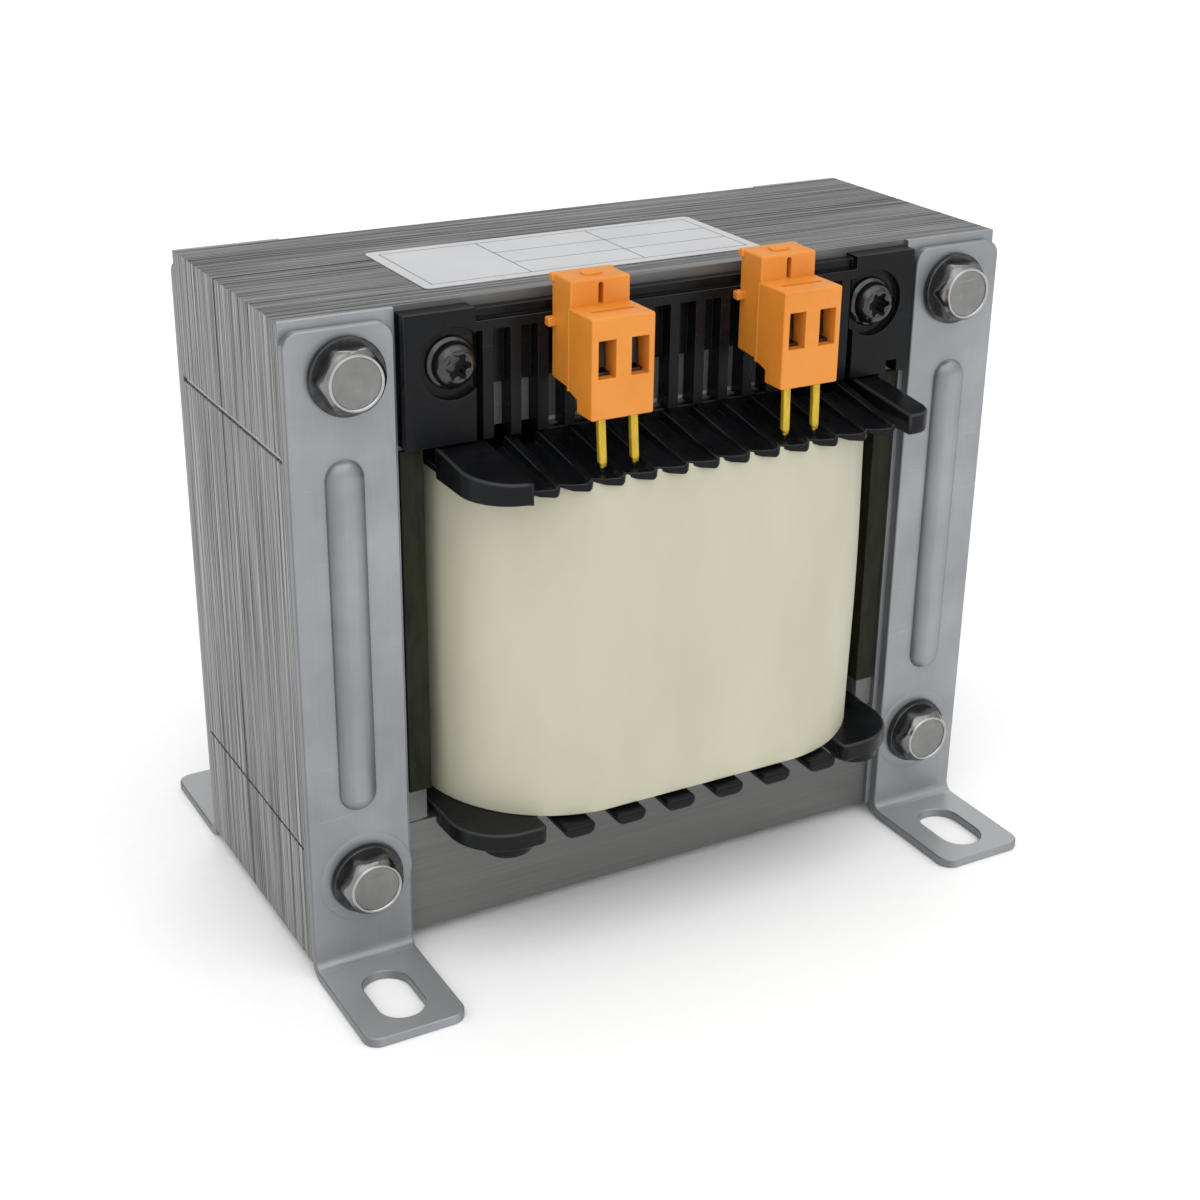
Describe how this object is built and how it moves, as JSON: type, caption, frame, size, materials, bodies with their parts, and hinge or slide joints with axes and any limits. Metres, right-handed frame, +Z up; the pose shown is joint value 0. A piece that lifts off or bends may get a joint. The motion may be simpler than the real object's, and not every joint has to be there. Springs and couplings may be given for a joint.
{
  "type": "harmonic filter reactor",
  "caption": "Harmonic filter reactor: a taped coil on a gapped laminated iron core, with a finned black bobbin, orange spring terminals and slotted angle feet.",
  "frame": {"origin": "middle of the footprint, on the plane under the feet", "axes": "+X across the core to the right of someone facing the terminals, -Y towards the terminals, +Z up"},
  "size_m": [0.15, 0.11, 0.1313],
  "materials": {
    "lamination_steel": "cut edges of steel laminations under a thin clear varnish",
    "gap_board": "matt insulating board",
    "liner_board": "dark matt insulating sheet",
    "zinc_sheet": "satin zinc-coated sheet steel",
    "bolt_steel": "plated steel, slightly warm",
    "black_plastic": "glass-filled moulding, satin",
    "copper": "enamelled copper wire",
    "coil_tape": "cream insulating tape, satin",
    "black_screw": "blackened steel",
    "orange_plastic": "satin moulding",
    "spring_steel": "bright spring steel",
    "lead_brass": "yellow plated pins",
    "label_film": "satin label film, left bare"
  },
  "bodies": {
    "root": {"bottom_yoke": "lamination_steel", "left_limb": "lamination_steel", "centre_limb": "lamination_steel", "right_limb": "lamination_steel", "top_yoke": "lamination_steel", "lower_gap_sheets": "gap_board", "upper_gap_spacers": "gap_board", "left_limb_liner": "liner_board", "right_limb_liner": "liner_board", "front_left_strip": "zinc_sheet", "front_right_strip": "zinc_sheet", "rear_left_strip": "zinc_sheet", "rear_right_strip": "zinc_sheet", "front_left_bracket": "zinc_sheet", "front_right_bracket": "zinc_sheet", "rear_left_bracket": "zinc_sheet", "rear_right_bracket": "zinc_sheet", "bolt_sleeves": "gap_board", "core_bolts": "bolt_steel", "front_washers": "bolt_steel", "rear_washers": "bolt_steel", "core_nuts": "bolt_steel", "bobbin": "black_plastic", "winding": "copper", "coil_wrap": "coil_tape", "terminal_carrier": "black_plastic", "carrier_screws": "black_screw", "left_terminal": "orange_plastic", "right_terminal": "orange_plastic", "terminal_clamps": "spring_steel", "lead_pins": "lead_brass", "rating_label": "label_film"}
  },
  "joints": []
}
